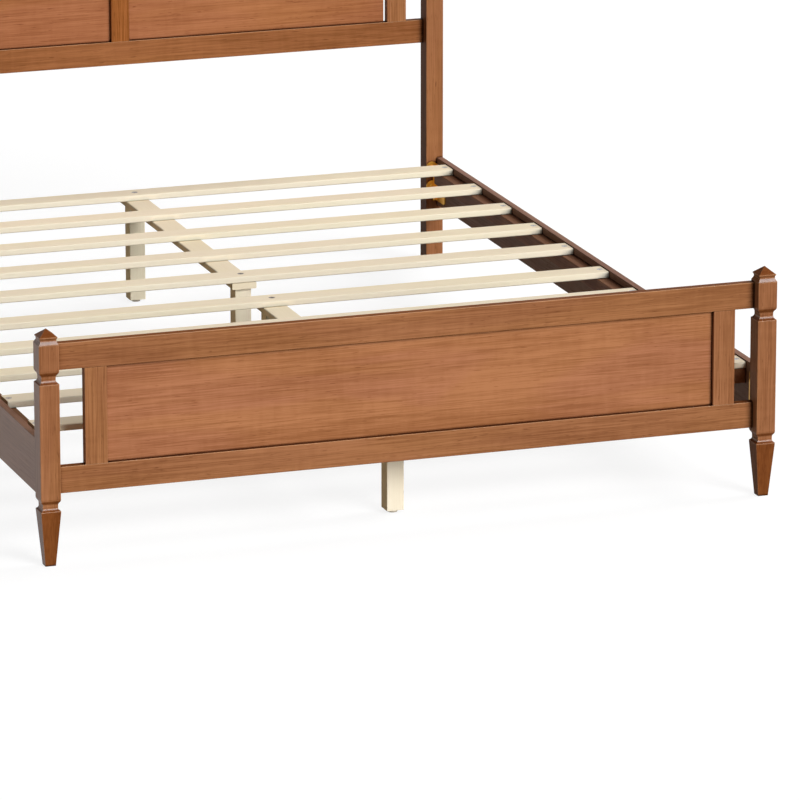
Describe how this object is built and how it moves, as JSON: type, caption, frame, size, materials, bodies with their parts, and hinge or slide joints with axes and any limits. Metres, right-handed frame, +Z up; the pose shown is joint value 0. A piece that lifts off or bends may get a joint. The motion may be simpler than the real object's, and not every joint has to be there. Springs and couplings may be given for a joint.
{
  "type": "platform bed",
  "caption": "Wooden slatted bed frame with panelled headboard and footboard, moulded posts with pyramid finials, and legs with adjustable feet under its middle.",
  "frame": {"origin": "on the floor under the middle of the bed's outline", "axes": "+X to the right seen from the foot end, +Y from foot to head, +Z up"},
  "size_m": [1.592, 2.123, 1.118],
  "materials": {
    "stained_wood": "satin lacquer",
    "panel_veneer": "satin lacquer",
    "pale_wood": "bare planed wood",
    "cleat_wood": "stained, matt",
    "beech_dowel": "bare turned wood",
    "yellow_zinc_steel": "yellow zinc plating",
    "zinc_steel": "zinc plating",
    "dark_steel": "dark zinc plating",
    "insert_brass": "turned",
    "pale_plastic": "matt"
  },
  "bodies": {
    "frame": {"bracket_bolts": "yellow_zinc_steel", "bracket_screws": "yellow_zinc_steel", "centre_bolts": "dark_steel", "centre_leg_1": "pale_wood", "centre_leg_2": "pale_wood", "centre_leg_3": "pale_wood", "centre_leg_4": "pale_wood", "centre_rail_foot": "pale_wood", "centre_rail_head": "pale_wood", "cleat_screws": "zinc_steel", "corner_bracket_foot_left": "yellow_zinc_steel", "corner_bracket_foot_right": "yellow_zinc_steel", "corner_bracket_head_left": "yellow_zinc_steel", "corner_bracket_head_right": "yellow_zinc_steel", "foot_post_left": "stained_wood", "foot_post_right": "stained_wood", "footboard_bottom_rail": "stained_wood", "footboard_dowels": "beech_dowel", "footboard_panel": "panel_veneer", "footboard_stile_left": "stained_wood", "footboard_stile_right": "stained_wood", "footboard_top_rail": "stained_wood", "head_post_left": "stained_wood", "head_post_right": "stained_wood", "headboard_bottom_rail": "stained_wood", "headboard_centre_stile": "stained_wood", "headboard_dowels": "beech_dowel", "headboard_panel_left": "panel_veneer", "headboard_panel_right": "panel_veneer", "headboard_stile_left": "stained_wood", "headboard_stile_right": "stained_wood", "headboard_top_rail": "stained_wood", "leg_bottom_inserts": "insert_brass", "leg_top_inserts": "insert_brass", "post_inserts": "insert_brass", "side_rail_left": "stained_wood", "side_rail_right": "stained_wood", "slat_01": "pale_wood", "slat_02": "pale_wood", "slat_03": "pale_wood", "slat_04": "pale_wood", "slat_05": "pale_wood", "slat_06": "pale_wood", "slat_07": "pale_wood", "slat_08": "pale_wood", "slat_09": "pale_wood", "slat_10": "pale_wood", "slat_cleat_left": "cleat_wood", "slat_cleat_right": "cleat_wood", "slat_screws": "zinc_steel"},
    "levelling_foot_1": {"levelling_foot_1": "pale_plastic"},
    "levelling_foot_2": {"levelling_foot_2": "pale_plastic"},
    "levelling_foot_3": {"levelling_foot_3": "pale_plastic"},
    "levelling_foot_4": {"levelling_foot_4": "pale_plastic"}
  },
  "joints": [
    {"name": "levelling_foot_1_screw", "type": "slide", "parent": "frame", "child": "levelling_foot_1", "axis": [0, 0, -1], "range_m": [0, 0.01]},
    {"name": "levelling_foot_2_screw", "type": "slide", "parent": "frame", "child": "levelling_foot_2", "axis": [0, 0, -1], "range_m": [0, 0.01]},
    {"name": "levelling_foot_3_screw", "type": "slide", "parent": "frame", "child": "levelling_foot_3", "axis": [0, 0, -1], "range_m": [0, 0.01]},
    {"name": "levelling_foot_4_screw", "type": "slide", "parent": "frame", "child": "levelling_foot_4", "axis": [0, 0, -1], "range_m": [0, 0.01]}
  ]
}
